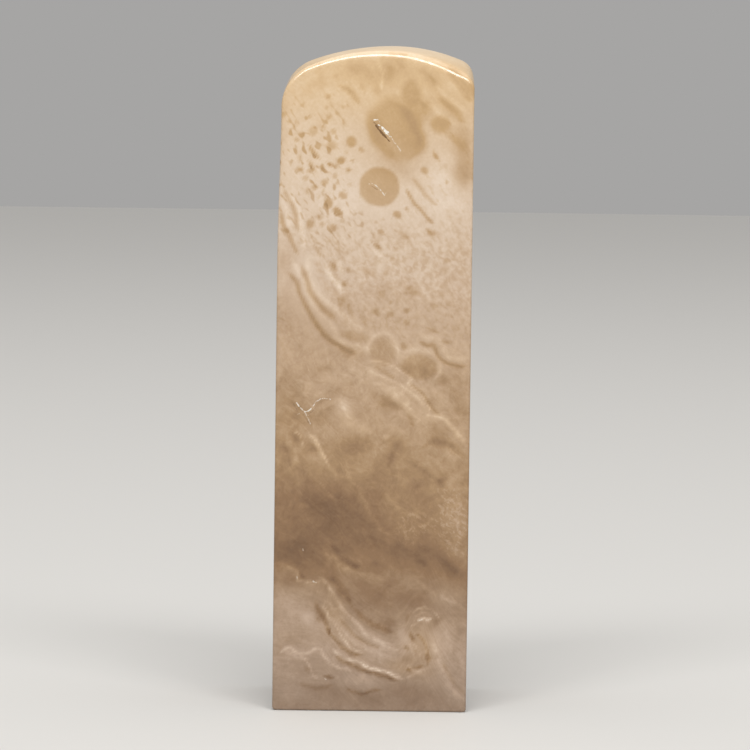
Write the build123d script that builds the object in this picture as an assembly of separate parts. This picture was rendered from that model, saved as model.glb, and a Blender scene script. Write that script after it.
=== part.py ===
from build123d import *
import math
import os

os.makedirs("parts", exist_ok=True)

# A blank seal stone: one block of polished stone, square in section, that
# stands on its seal face and ends in a domed top, ground by hand.
# Millimetres. The origin is the centre of the seal face, +Z runs up the
# stone, +X to the right of someone who faces it, and the front looks along -Y.

# Block
width = 25.0          # left side to right side
depth = 25.0          # front to back
height = 85.8         # seal face to the highest point of the dome
shaft_height = 58.0   # up to here all four sides are flat and square to the seal face
left_lean = 0.45      # how far the left side has leant in at the height of the dome

# Crest: the arch of the dome halfway between front and back
crest_peak = 2.3              # its highest point stands this far right of the centre
crest_left_radius = 31.0
crest_right_radius = 22.8

# Rims: the arch of the dome at the front face and at the back face
rim_drop = 1.2                # the highest point of a rim below that of the crest
rim_peak = 0.7
rim_left_radius = 26.3
rim_right_radius = 18.8

# Edges
left_shoulder_radius = 5.8    # from the dome to the left side
right_shoulder_radius = 2.3   # from the dome to the right side
arris_radius = 0.4            # the softened edges of the sides, the rims and the seal face

# Cutting
overrun = 3.0         # how far a shape that is cut away reaches past the stone


def arch_height(x, top, peak, radius):
    """Height at x of an arc of this radius whose highest point is at (peak, top)."""
    return top - radius + math.sqrt(radius**2 - (x - peak) ** 2)


def upright(place):
    """Plane of an outline seen from the front, at this place along Y."""
    return Plane(origin=(0, place, 0), x_dir=(1, 0, 0), z_dir=(0, -1, 0))


def make_rough_block():
    """The stone as it is sawn: flat sides, of which the left leans in above the shaft."""
    left = -width / 2
    right = width / 2
    sawn_height = height + overrun
    corners = (
        (left, 0),
        (left, shaft_height),
        (left + left_lean, height),
        (left + left_lean, sawn_height),
        (right, sawn_height),
        (right, 0),
    )
    outline = upright(depth / 2) * make_face(Polyline(*corners, close=True))
    return extrude(outline, amount=depth)


def dome_outline(place, top, peak, left_radius, right_radius):
    """Outline of the dome at one depth: two arcs that meet level at the peak.

    It runs on past both sides of the stone, and down past the seal face.
    """
    left = -width / 2 - overrun
    right = width / 2 + overrun
    left_end = (left, arch_height(left, top, peak, left_radius))
    right_end = (right, arch_height(right, top, peak, right_radius))
    summit = (peak, top)
    with BuildSketch(upright(place)) as outline:
        with BuildLine():
            TangentArc(summit, left_end, tangent=(-1, 0))
            TangentArc(summit, right_end, tangent=(1, 0))
            Polyline(right_end, (right, -overrun), (left, -overrun), left_end)
        make_face()
    return outline.sketch


def make_dome():
    """The space under the dome, lofted through its front rim, crest and back rim."""
    rim_size = (height - rim_drop, rim_peak, rim_left_radius, rim_right_radius)
    front_rim = dome_outline(-depth / 2, *rim_size)
    crest = dome_outline(0, height, crest_peak, crest_left_radius, crest_right_radius)
    back_rim = dome_outline(depth / 2, *rim_size)
    return loft([front_rim, crest, back_rim])


def round_shoulders(block):
    """Round the two long corners where the dome meets the left and the right side."""
    for end, radius in ((0, left_shoulder_radius), (-1, right_shoulder_radius)):
        lengthwise = block.edges().filter_by_position(
            Axis.Y, -depth / 2, depth / 2, inclusive=(False, False)
        )
        on_dome = lengthwise.filter_by_position(
            Axis.Z, shaft_height, height, inclusive=(False, True)
        )
        block = fillet(on_dome.sort_by(Axis.X)[end], radius=radius)
    return block


def soften_edges(block):
    """Round the edges that grinding leaves sharp, all by the same small radius."""
    front_edges = block.edges().group_by(Axis.Y)[0]
    back_edges = block.edges().group_by(Axis.Y)[-1]
    foot_edges = block.edges().filter_by(Axis.Y).group_by(Axis.Z)[0]
    return fillet(front_edges + back_edges + foot_edges, radius=arris_radius)


def make_seal_stone():
    """The sawn block, ground to the dome, with its shoulders and edges rounded."""
    ground_block = make_rough_block() & make_dome()
    return soften_edges(round_shoulders(ground_block))


seal_stone = make_seal_stone()
seal_stone.label = "seal_stone"
export_step(seal_stone, "parts/seal_stone.step")
box = seal_stone.bounding_box().size
print(f"seal_stone {box.X:.2f} x {box.Y:.2f} x {box.Z:.2f} mm, {seal_stone.volume:.0f} mm3")
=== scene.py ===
import math

import bpy
import numpy as np
from mathutils import Matrix, Vector


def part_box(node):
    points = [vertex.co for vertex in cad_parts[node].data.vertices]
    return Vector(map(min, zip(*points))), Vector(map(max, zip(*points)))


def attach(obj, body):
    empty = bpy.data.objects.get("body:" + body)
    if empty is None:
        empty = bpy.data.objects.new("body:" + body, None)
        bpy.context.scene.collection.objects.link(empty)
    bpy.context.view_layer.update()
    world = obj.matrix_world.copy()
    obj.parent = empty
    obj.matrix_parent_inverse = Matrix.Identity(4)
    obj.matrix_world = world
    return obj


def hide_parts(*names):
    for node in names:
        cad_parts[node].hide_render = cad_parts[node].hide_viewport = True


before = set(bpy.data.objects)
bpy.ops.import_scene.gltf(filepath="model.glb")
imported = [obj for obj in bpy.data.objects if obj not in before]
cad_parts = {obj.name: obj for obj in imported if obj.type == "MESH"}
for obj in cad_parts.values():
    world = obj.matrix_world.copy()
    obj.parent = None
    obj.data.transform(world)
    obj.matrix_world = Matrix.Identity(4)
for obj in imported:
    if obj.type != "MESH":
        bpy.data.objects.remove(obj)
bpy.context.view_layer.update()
print("frame loaded")

mm = 0.001  # everything below is measured in millimetres, and the meshes are made in metres


def addObject(name, data):
    # a new object that shows this mesh, lamp or camera, put into the scene
    thing = bpy.data.objects.new(name, data)
    bpy.context.scene.collection.objects.link(thing)
    return thing


# Node trees written as Python

class Wire:
    # one output socket; an expression on wires adds the Math nodes that work it out
    def __init__(self, finish, socket):
        self.finish, self.socket = finish, socket

    def maths(self, operation, *values):
        # one Math node on these wires and numbers
        return self.finish.add("Math", {"operation": operation}, dict(enumerate(values)))

    def __add__(self, other):
        return self.maths("ADD", self, other)

    def __radd__(self, other):
        return self.maths("ADD", other, self)

    def __sub__(self, other):
        return self.maths("SUBTRACT", self, other)

    def __rsub__(self, other):
        return self.maths("SUBTRACT", other, self)

    def __mul__(self, other):
        return self.maths("MULTIPLY", self, other)

    def __rmul__(self, other):
        return self.maths("MULTIPLY", other, self)


class Finish:
    # a material, and the one method that adds a node to it
    def __init__(self, name):
        self.material = bpy.data.materials.new(name)
        self.material.use_nodes = True
        self.tree = self.material.node_tree
        self.tree.nodes.clear()

    def add(self, kind, settings=None, values=None, out=0):
        # settings go first, then a value or a link for each named or numbered socket
        node = self.tree.nodes.new("ShaderNode" + kind)
        for name, setting in (settings or {}).items():
            if name == "stops":
                self.setStops(node.color_ramp, setting)
            else:
                setattr(node, name, setting)
        for name, value in (values or {}).items():
            if isinstance(value, Wire):
                self.tree.links.new(value.socket, node.inputs[name])
            else:
                node.inputs[name].default_value = value
        return Wire(self, node.outputs[out])

    def show(self):
        # the last node added is the shader that the surface shows
        shader = self.tree.nodes[-1]
        output = self.tree.nodes.new("ShaderNodeOutputMaterial")
        self.tree.links.new(shader.outputs[0], output.inputs["Surface"])
        return self.material

    def setStops(self, ramp, stops):
        # a ramp starts with two stops; the others are added, and then all get their place and colour
        for at, colour in stops[2:]:
            ramp.elements.new(at)
        for element, (at, colour) in zip(ramp.elements, stops):
            element.position, element.color = at, (*colour, 1)

    def between(self, wire, low, high):
        # 0 below low, 1 above high, and an S-curve in the middle
        return self.add("MapRange", {"interpolation_type": "SMOOTHSTEP"},
                        {"Value": wire, "From Min": low, "From Max": high})

    def mixColours(self, factor, first, second):
        # the first colour where the factor is 0, the second where it is 1
        return self.add("Mix", {"data_type": "RGBA"}, {0: factor, 6: first, 7: second}, out=2)


leastColour = 0.002  # how dark a colour may be before it is divided by the light


def fromScreen(red, green, blue, light=1.0, sheen=0.0):
    # a colour as a screen shows it, 0 to 255, made linear by the screen's own curve; then less the
    # reflection that lies on it, divided by the light that falls on it
    share = np.array([red, green, blue]) / 255
    seen = np.where(share <= 0.04045, share / 12.92, ((share + 0.055) / 1.055) ** 2.4)
    return tuple(np.maximum(seen - sheen, leastColour) / light)


# The block: its outline from the front, carried from the front face round to the back

lowCorner, highCorner = (np.array(corner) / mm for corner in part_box("seal_stone"))
stoneBlock = {
    "halfWidth": (highCorner[0] - lowCorner[0]) / 2, "halfDepth": (highCorner[1] - lowCorner[1]) / 2,
    "height": highCorner[2],
    "shaftHeight": 58.0, "leftLean": 0.32,  # above the shaft the left side leans in
    # the dome's arch midway between front and back: how far right its top is, and its radii to both sides
    "crestPeak": 2.3, "crestLeft": 31.0, "crestRight": 22.8,
    # the arch at the front and the back face, and how far its top is below the crest's; these follow the
    # light line along the front's rim, which is a little higher than the rim of the plain solid
    "rimDrop": 0.93, "rimPeak": 0.9, "rimLeft": 23.6, "rimRight": 20.0,
    "leftShoulder": 5.8, "rightShoulder": 2.3, "footCorner": 0.45,
    "rimRounding": [(-12.5, 0.5), (-7, 0.75), (0, 1.0), (10.5, 1.15), (12.5, 0.55)],  # place across, radius
    "arrisRounding": 0.35, "footRounding": 0.3, "upwardGain": 1.1,  # how soon the rims' rounding takes over
    "cellsAcross": 96, "cellsUp": 336, "cellsDeep": 46, "cellsInRounding": 6,
}


def archAt(block, y):
    # the dome's arch at depth y: top, peak, left and right radius; each size goes from the crest's to the
    # rim's with the square of the depth
    towardsRim = (y / block["halfDepth"]) ** 2
    top = block["height"] - block["rimDrop"] * towardsRim
    pairs = (("crestPeak", "rimPeak"), ("crestLeft", "rimLeft"), ("crestRight", "rimRight"))
    return top, *(block[crest] + (block[rim] - block[crest]) * towardsRim for crest, rim in pairs)


def arc(x, z, radius, start, end):
    # a piece of an outline: part of a circle round (x, z), as long as its radius times its turn
    return {"kind": "arc", "x": x, "z": z, "radius": radius, "start": start, "end": end,
            "length": radius * np.abs(end - start)}


def line(x0, z0, x1, z1, lean=0.0):
    # a piece of an outline: straight from (x0, z0) to (x1, z1), but for its lean above the shaft
    return {"kind": "line", "x0": x0, "z0": z0, "x1": x1, "z1": z1, "lean": lean,
            "length": np.hypot(x1 - x0, z1 - z0)}


def smooth(share):
    # an S-curve from 0 to 1
    share = np.clip(share, 0, 1)
    return share * share * (3 - 2 * share)


def between(knots, place):
    # a size that goes through its values at given places, straight between them
    places, values = zip(*knots)
    return np.interp(place, places, values)


def outlineSides(block, y):
    # the outline at depth y as four chains of arcs and lines: foot, right side, dome, left side;
    # a shoulder's arc touches the side and the arch, so its centre is a shoulder's radius inside both
    half, corner, lean = block["halfWidth"], block["footCorner"], block["leftLean"]
    top, peak, left, right = archAt(block, y)
    shoulderL, shoulderR = block["leftShoulder"], block["rightShoulder"]
    xL = -half + lean + shoulderL
    zL = top - left + np.sqrt((left - shoulderL) ** 2 - (xL - peak) ** 2)
    angleL = np.arctan2(zL - (top - left), xL - peak)
    xR = half - shoulderR
    zR = top - right + np.sqrt((right - shoulderR) ** 2 - (xR - peak) ** 2)
    angleR = np.arctan2(zR - (top - right), xR - peak)
    nought = 0 * y
    quarter = math.pi / 2
    foot = [arc(-half + corner, corner, corner, 2.5 * quarter + nought, 3 * quarter),
            line(-half + corner + nought, 0, half - corner, 0),
            arc(half - corner, corner, corner, 3 * quarter + nought, 3.5 * quarter)]
    rightSide = [arc(half - corner, corner, corner, 3.5 * quarter + nought, 4 * quarter),
                 line(half, corner, half, zR),
                 arc(xR, zR, shoulderR, nought, angleR / 2)]
    dome = [arc(xR, zR, shoulderR, angleR / 2, angleR),
            arc(peak, top - right, right, angleR, quarter),
            arc(peak, top - left, left, quarter, angleL),
            arc(xL, zL, shoulderL, angleL, (angleL + math.pi) / 2)]
    leftSide = [arc(xL, zL, shoulderL, (angleL + math.pi) / 2, math.pi),
                line(-half, zL, -half, corner, lean),
                arc(-half + corner, corner, corner, 2 * quarter + nought, 2.5 * quarter)]
    return foot, rightSide, dome, leftSide


def walkChain(block, chain, share):
    # the point and the outward direction at a share of a chain's length
    reach = share * sum(piece["length"] for piece in chain)
    x = z = outX = outZ = np.zeros_like(reach)
    start = np.zeros_like(reach)
    for piece in chain:
        along = np.clip((reach - start) / piece["length"], 0, 1)
        if piece["kind"] == "arc":
            turn = piece["start"] + (piece["end"] - piece["start"]) * along
            toX, toZ = np.cos(turn), np.sin(turn)
            atX, atZ = piece["x"] + piece["radius"] * toX, piece["z"] + piece["radius"] * toZ
        else:
            atX = piece["x0"] + (piece["x1"] - piece["x0"]) * along
            atZ = piece["z0"] + (piece["z1"] - piece["z0"]) * along
            toX = (piece["z1"] - piece["z0"]) / piece["length"] + 0 * along
            toZ = -(piece["x1"] - piece["x0"]) / piece["length"] + 0 * along
            upper = np.maximum(piece["z0"], piece["z1"])
            rise = (atZ - block["shaftHeight"]) / (upper - block["shaftHeight"])
            atX = atX + piece["lean"] * smooth(rise)
        here = reach >= start
        x, z = np.where(here, atX, x), np.where(here, atZ, z)
        outX, outZ = np.where(here, toX, outX), np.where(here, toZ, outZ)
        start = start + piece["length"]
    return x, z, outX, outZ


def walkOutline(block, y):
    # the whole outline, for an array y with one column for each point round the stone
    across, up = block["cellsAcross"], block["cellsUp"]
    parts, column = [], 0
    for count, pick in ((across, 0), (up, 1), (across, 2), (up, 3)):
        columns = slice(column, column + count)
        share = np.arange(count) / count + 0 * y[:, columns]
        parts.append(walkChain(block, outlineSides(block, y[:, columns])[pick], share))
        column += count
    return [np.concatenate(part, axis=1) for part in zip(*parts)]


def wallOfStone(block):
    # the wall: the outline carried from front to back; over each arris the outline is drawn in by
    # rounding * (1 - sin turn) while the depth goes on by rounding * (1 - cos turn)
    count = 2 * (block["cellsAcross"] + block["cellsUp"])
    half = block["halfDepth"]
    atRim = walkOutline(block, np.full((1, count), -half))
    upwards, downwards = smooth(atRim[3] * block["upwardGain"]), np.clip(-atRim[3], 0, 1)
    alongRim = between(block["rimRounding"], atRim[0])
    rounding = (block["arrisRounding"]
                + (alongRim - block["arrisRounding"]) * upwards
                + (block["footRounding"] - block["arrisRounding"]) * downwards)
    turn = np.linspace(0, math.pi / 2, block["cellsInRounding"] + 1)[:, None]
    front = -half + rounding * (1 - np.cos(turn))
    share = np.linspace(0, 1, block["cellsDeep"] + 1)[1:-1, None]
    middle = (-half + rounding) + share * 2 * (half - rounding)
    y = np.concatenate([front, middle, -front[::-1]])
    drawnInAtFront = rounding * (1 - np.sin(turn))
    drawnIn = np.concatenate([drawnInAtFront, 0 * middle, drawnInAtFront[::-1]])
    x, z, outX, outZ = walkOutline(block, y)
    return np.stack([x - drawnIn * outX, y, z - drawnIn * outZ], axis=-1)


def fillRing(ring, across, up):
    # a face inside its ring: opposite sides blended across, both ways, less the blend of the four corners
    foot = ring[: across + 1][:, None]
    right = ring[across: across + up + 1][None]
    dome = ring[across + up: 2 * across + up + 1][::-1][:, None]
    left = np.concatenate([ring[2 * across + up:], ring[:1]])[::-1][None]
    s = np.linspace(0, 1, across + 1)[:, None, None]
    t = np.linspace(0, 1, up + 1)[None, :, None]
    atLeft = (1 - t) * foot[0, 0] + t * dome[0, 0]
    atRight = (1 - t) * foot[-1, 0] + t * dome[-1, 0]
    corners = (1 - s) * atLeft + s * atRight
    return (1 - t) * foot + t * dome + (1 - s) * left + s * right - corners


def ringPlaces(across, up):
    # column and row, in a face's grid, of each point of its ring
    i = np.concatenate([np.arange(across), np.full(up, across), np.arange(across, 0, -1), np.full(up, 0)])
    j = np.concatenate([np.full(across, 0), np.arange(up), np.full(across, up), np.arange(up, 0, -1)])
    return i, j


def gridQuads(index):
    # four corners of each cell of a grid of vertex numbers
    return np.stack([index[:-1, :-1], index[1:, :-1], index[1:, 1:], index[:-1, 1:]], axis=-1).reshape(-1, 4)


def stoneMesh(block):
    # the wall, the front face within its first ring and the back face within its last
    across, up = block["cellsAcross"], block["cellsUp"]
    wall = wallOfStone(block)
    rows, count = wall.shape[:2]
    ringI, ringJ = ringPlaces(across, up)
    wallIndex = np.arange(rows * count).reshape(rows, count)

    front = fillRing(wall[0], across, up)
    frontIndex = np.zeros((across + 1, up + 1), int)
    frontIndex[1:-1, 1:-1] = rows * count + np.arange((across - 1) * (up - 1)).reshape(across - 1, up - 1)
    frontIndex[ringI, ringJ] = wallIndex[0]

    # the back face has every second point of such a grid, and a strip that joins them to the wall
    back = fillRing(wall[-1], across, up)[2:-2:2, 2:-2:2]
    first = frontIndex.max() + 1
    backIndex = first + np.arange(back.shape[0] * back.shape[1]).reshape(back.shape[:2])
    nearI = np.clip(ringI // 2 - 1, 0, back.shape[0] - 1)
    nearJ = np.clip(ringJ // 2 - 1, 0, back.shape[1] - 1)
    inner, outer = backIndex[nearI, nearJ], wallIndex[-1]
    strip = np.stack([outer, np.roll(outer, -1), np.roll(inner, -1), inner], axis=-1)[:, ::-1]
    single = inner == np.roll(inner, -1)

    around = np.concatenate([wallIndex, wallIndex[:, :1]], axis=1)
    quads = np.concatenate([gridQuads(frontIndex), gridQuads(around), gridQuads(backIndex)[:, ::-1],
                            strip[~single]])
    threes = strip[single][:, 1:]
    points = np.concatenate([wall.reshape(-1, 3), front[1:-1, 1:-1].reshape(-1, 3), back.reshape(-1, 3)])
    return points, quads, threes


points, quads, threes = stoneMesh(stoneBlock)
mesh = bpy.data.meshes.new("seal_stone_polished")
mesh.from_pydata((points * mm).tolist(), [], quads.tolist() + threes.tolist())
mesh.validate()
mesh.polygons.foreach_set("use_smooth", np.ones(len(mesh.polygons), bool))
mesh.update()
stone = addObject("seal_stone_polished", mesh)
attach(stone, "root")
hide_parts("seal_stone")
print("stone built,", len(mesh.vertices), "points,", len(quads) * 2 + len(threes), "triangles")


# The figure in the stone: tone 0 is its darkest brown and 1 its palest cream

photo = {  # how the front face stands in the photograph, in its pixels
    "middle": 371.62, "middleRow": 500, "lean": 0.0128,  # its middle in that row, and its lean leftwards
    "foot": 711.3, "perMmAcross": 7.76, "perMmUp": 7.75, "perMm": 7.755,
}


def fromPhoto(x, y):
    # millimetres across and up on the front face, from pixels across and down in the photograph
    across = x - photo["middle"] + photo["lean"] * (y - photo["middleRow"])
    return across / photo["perMmAcross"], (photo["foot"] - y) / photo["perMmUp"]


def ovalsFromPhoto(marks):
    # each oval's centre and half sizes in millimetres, and the rest of its row as it is
    return [(*fromPhoto(x, y), halfX / photo["perMm"], halfZ / photo["perMm"], *rest)
            for x, y, halfX, halfZ, *rest in marks]


def linesFromPhoto(marks):
    # each line's half width and points in millimetres
    return [(halfWidth / photo["perMm"], strength, [fromPhoto(x, y) for x, y in points])
            for halfWidth, strength, points in marks]


# The marks, noted on enlarged parts of the photograph, in its pixels

blots = ovalsFromPhoto([  # soft clouds: x, y, two half sizes, tilt in degrees, change of tone
    (385, 74, 62, 14, 0, -0.1), (354, 72, 9, 8, 0, -0.09), (388.5, 73.5, 6, 7, 0, -0.07),
    (376.7, 92.7, 4, 4.5, 0, -0.1), (322, 86, 6, 5, 0, -0.05), (307, 97, 6, 6, 0, -0.04),
    (430, 84, 12, 8, -45, -0.05), (398, 128, 36, 38, 0, -0.07), (425, 110, 14, 18, -50, -0.07),
    (398, 170, 30, 11, -25, -0.11), (414, 160, 14, 10, 0, -0.05), (456, 130, 18, 9, -42, -0.1),
    (462, 150, 12, 8, -30, -0.08), (461, 173, 12, 13, 0, -0.14), (455, 100, 16, 10, -35, -0.06),
    (446, 146, 13, 5, -35, -0.05), (436, 180, 20, 9, -10, 0.05), (448, 205, 24, 12, 0, 0.05),
    (350, 205, 24, 30, 0, 0.02), (278, 140, 8, 40, 0, -0.08), (280, 108, 8, 14, 0, -0.06),
    (284, 262, 12, 16, 0, -0.1), (300, 330, 34, 34, 0, -0.07), (285, 300, 12, 30, 0, -0.05),
    (345, 352, 26, 12, -20, -0.03), (300, 370, 30, 12, 10, -0.06), (324.7, 369.5, 10, 5, 20, -0.1),
    (455, 380, 20, 16, -30, -0.12), (460, 410, 16, 22, 0, -0.05), (292, 395, 24, 18, 0, -0.08),
    (300, 418, 18, 9, 0, -0.12), (323, 420, 8, 9, -60, -0.08), (343, 392, 16, 9, -20, -0.06),
    (344, 406, 8, 8, 0, 0.17), (400, 376, 20, 5, -30, 0.04), (385, 401, 9, 6.5, -15, -0.22),
    (398, 406, 6, 5, -30, -0.12), (373, 393, 5, 4, -30, -0.1), (351, 385, 5, 4, 0, -0.09),
    (433, 402, 6, 9, 20, -0.09), (442, 381, 5, 5, 0, -0.08), (351, 448, 18, 12, 10, -0.17),
    (366, 441, 5, 5, 0, -0.1), (312.5, 450, 7, 4.5, -10, -0.16), (297, 439, 4.5, 5, -30, -0.15),
    (396, 446, 9, 12, 30, -0.12), (386, 462, 9, 8, 30, -0.08), (436, 433, 14, 8, -20, -0.09),
    (372, 421, 16, 8, -20, -0.03), (400, 423, 16, 9, 0, 0.02), (440, 481, 5, 5, -40, -0.13),
    (418, 496, 20, 12, -30, -0.06), (407, 480, 16, 10, -20, -0.04), (320, 505, 48, 30, -8, -0.17),
    (350, 520, 40, 26, -30, -0.16), (300, 545, 34, 15, 0, -0.15), (395, 552, 34, 12, -24, -0.1),
    (430, 551, 26, 10, -30, -0.12), (455, 573, 20, 10, -35, -0.09), (352, 545, 16, 8, 0, -0.05),
    (414, 520, 20, 10, -30, -0.07), (455, 500, 16, 34, 0, 0.07), (456, 524, 14, 12, 0, 0.08),
    (457, 550, 14, 6, -38, 0.1), (345, 578, 14, 6, -10, 0.03), (400, 578, 26, 9, -25, 0.05),
    (384, 603, 32, 22, -20, -0.13), (420, 600, 18, 8, -20, -0.12), (372, 596, 18, 9, -35, -0.04),
    (391, 623, 9, 5, -10, -0.14), (380, 629, 16, 5, -20, -0.08), (290, 600, 20, 16, 0, 0.07),
    (279, 650, 5, 8, 0, -0.1), (360, 640, 12, 6, -40, -0.05), (308, 617, 7, 7, 0, 0.09),
    (290, 640, 16, 6, -12, -0.1), (306, 636, 16, 7, -15, -0.04), (322, 615, 7, 8, -60, -0.15),
    (288, 568, 12, 6, -20, 0.1), (292, 583, 12, 5, -20, -0.04), (403, 634, 6, 14, 25, 0.13),
    (436, 621, 6, 4, 30, -0.16), (448, 601, 16, 9, -40, 0.06), (438, 640, 10, 20, 8, 0.06),
    (458, 640, 10, 20, 0, -0.04), (460, 610, 10, 14, 0, -0.05), (405, 660, 7, 3.5, 0, -0.13),
    (362, 681, 25, 8, -4, 0.09), (310, 668, 22, 10, 0, -0.03), (285, 425, 18, 32, 0, -0.1),
    (290, 558, 26, 17, -10, -0.16), (464, 158, 12, 26, 0, -0.08), (285, 470, 18, 30, 0, -0.04),
    (335, 206, 18, 14, 0, 0.05), (330, 566, 18, 12, 0, -0.06), (286, 612, 22, 22, 0, 0.07),
    (380, 346, 7, 6, 0, -0.05), (300, 516, 22, 16, 0, -0.07), (380, 480, 18, 12, -20, -0.06),
    (318, 622, 18, 9, -30, 0.1), (296, 690, 24, 10, 0, 0.06), (408, 508, 18, 14, -30, 0.03),
    (400, 366, 8, 6, 0, -0.03), (425, 112, 10, 8, -45, -0.07), (452, 112, 9, 6, -40, -0.07),
    (464, 180, 9, 9, 0, -0.07), (413, 143, 13, 12, 0, -0.06), (468, 160, 9, 60, 0, -0.05),
    (350, 349, 12, 7, -20, 0.07), (330, 405, 10, 8, 0, -0.05), (400, 440, 12, 8, 0, -0.07),
    (440, 440, 12, 8, 0, 0.05), (380, 500, 14, 10, 0, -0.04), (345, 500, 14, 10, 0, 0.04),
    (462, 406, 10, 12, 0, -0.06), (376, 140, 8, 10, 0, -0.03), (380, 700, 50, 8, 0, -0.09),
    (405, 690, 30, 8, -10, -0.09), (320, 690, 26, 7, -8, -0.08), (395, 700, 10, 5, 0, 0.06),
    (285, 700, 14, 6, -30, -0.02), (458, 690, 12, 10, -40, 0.08),
])

spots = ovalsFromPhoto([  # with an edge, the eyes first: the same, and the edge's softness
    (396, 131, 32.5, 26, -66, -0.11, 0.24), (376, 134, 18, 8, -70, -0.09, 0.55),
    (412, 94.8, 12.5, 9.5, -75, -0.15, 0.4), (379, 188.5, 20.3, 19.8, 0, -0.19, 0.09),
    (440.2, 126.3, 8.4, 8, 0, -0.16, 0.5), (332.3, 147.5, 5.2, 4.4, -10, -0.14, 0.45),
    (352.4, 143.3, 5.2, 4.8, -20, -0.19, 0.35), (314.3, 134.3, 4.4, 4.4, 0, -0.11, 0.3),
    (334.4, 134.3, 2.6, 2.2, 0, -0.13, 0.5), (341.4, 162.1, 4.4, 3, 35, -0.26, 0.4),
    (329.6, 206.5, 5, 4.2, -60, -0.24, 0.4), (338.3, 214.1, 4.4, 3, -60, -0.27, 0.3),
    (343.5, 197.4, 4.2, 3.2, -30, -0.19, 0.4), (310.8, 226, 4.4, 3.8, -50, -0.19, 0.4),
    (332.5, 230.5, 3.8, 3, -60, -0.19, 0.4), (397.5, 215.5, 4.4, 3.4, -25, -0.22, 0.4),
    (424.6, 171.8, 3.5, 3.2, -40, -0.17, 0.5), (325.4, 185.6, 3.8, 2.6, 20, -0.17, 0.5),
    (314.3, 190.5, 2.8, 2.4, 0, -0.16, 0.5), (301.1, 171.8, 3.2, 2.4, 0, -0.15, 0.5),
    (309.4, 173.8, 2.4, 2, 0, -0.14, 0.5), (322.6, 171.1, 2, 1.8, 0, -0.14, 0.5),
    (305.3, 181.5, 2.4, 2.4, 0, -0.13, 0.5), (336, 178.7, 2.4, 3, 0, -0.14, 0.5),
    (353.1, 162.1, 2, 1.8, 0, -0.14, 0.5), (362.2, 151, 3, 2, -40, -0.14, 0.5),
    (319.9, 218.9, 3, 2.4, -40, -0.12, 0.5), (322.6, 226.5, 2.4, 2.4, 0, -0.13, 0.5),
    (341.4, 223.1, 2.4, 2, 0, -0.1, 0.5), (284.5, 117.7, 3, 2.4, 0, -0.1, 0.5),
    (297.7, 141.9, 2.6, 2.2, 0, -0.13, 0.5), (328.9, 98.9, 2.6, 2, -50, -0.14, 0.5),
    (430, 233, 3.5, 2.8, 0, -0.17, 0.5), (401, 234, 2.6, 2, 0, -0.1, 0.5),
    (344.1, 285.2, 2.8, 2.6, 0, -0.18, 0.4), (340.5, 301, 3.8, 4.6, 0, -0.15, 0.5),
    (391.3, 260.9, 2.2, 2, 0, -0.12, 0.5), (391.3, 315, 3.4, 3, 0, -0.17, 0.5),
    (391.3, 303.2, 2.2, 2, 0, -0.13, 0.5), (406.5, 311.5, 3.4, 2.6, 0, -0.14, 0.5),
    (406.5, 323.3, 3.2, 2.4, -20, -0.14, 0.5), (375.5, 313, 5, 3.4, -30, -0.13, 0.5),
    (381.6, 295, 3.4, 4, 0, -0.12, 0.5), (412, 290.7, 8, 5, -10, -0.12, 0.6),
    (386.5, 274, 2.4, 2.4, 0, -0.12, 0.5), (367, 272, 6, 3, -20, -0.1, 0.6),
    (403.8, 346.2, 2.8, 3.2, 0, -0.13, 0.5), (434, 305, 4, 2.6, -20, -0.11, 0.5),
    (428, 275, 3, 2.4, 0, -0.09, 0.5), (446, 262, 3.4, 2.6, 0, -0.09, 0.5),
    (405, 238, 3.6, 2.6, -20, -0.11, 0.5), (354, 336.7, 14, 4.8, -17, -0.1, 0.4),
    (382.3, 352.5, 13, 14.5, 0, -0.08, 0.25), (419.3, 366.4, 18, 12.6, -6, -0.13, 0.22),
    (350, 353.5, 13, 6.5, -16, -0.06, 0.5), (353, 565, 5.5, 3.5, -20, -0.07, 0.5),
    (408.9, 669.8, 2.4, 1.8, 0, -0.2, 0.5),
])

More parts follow.
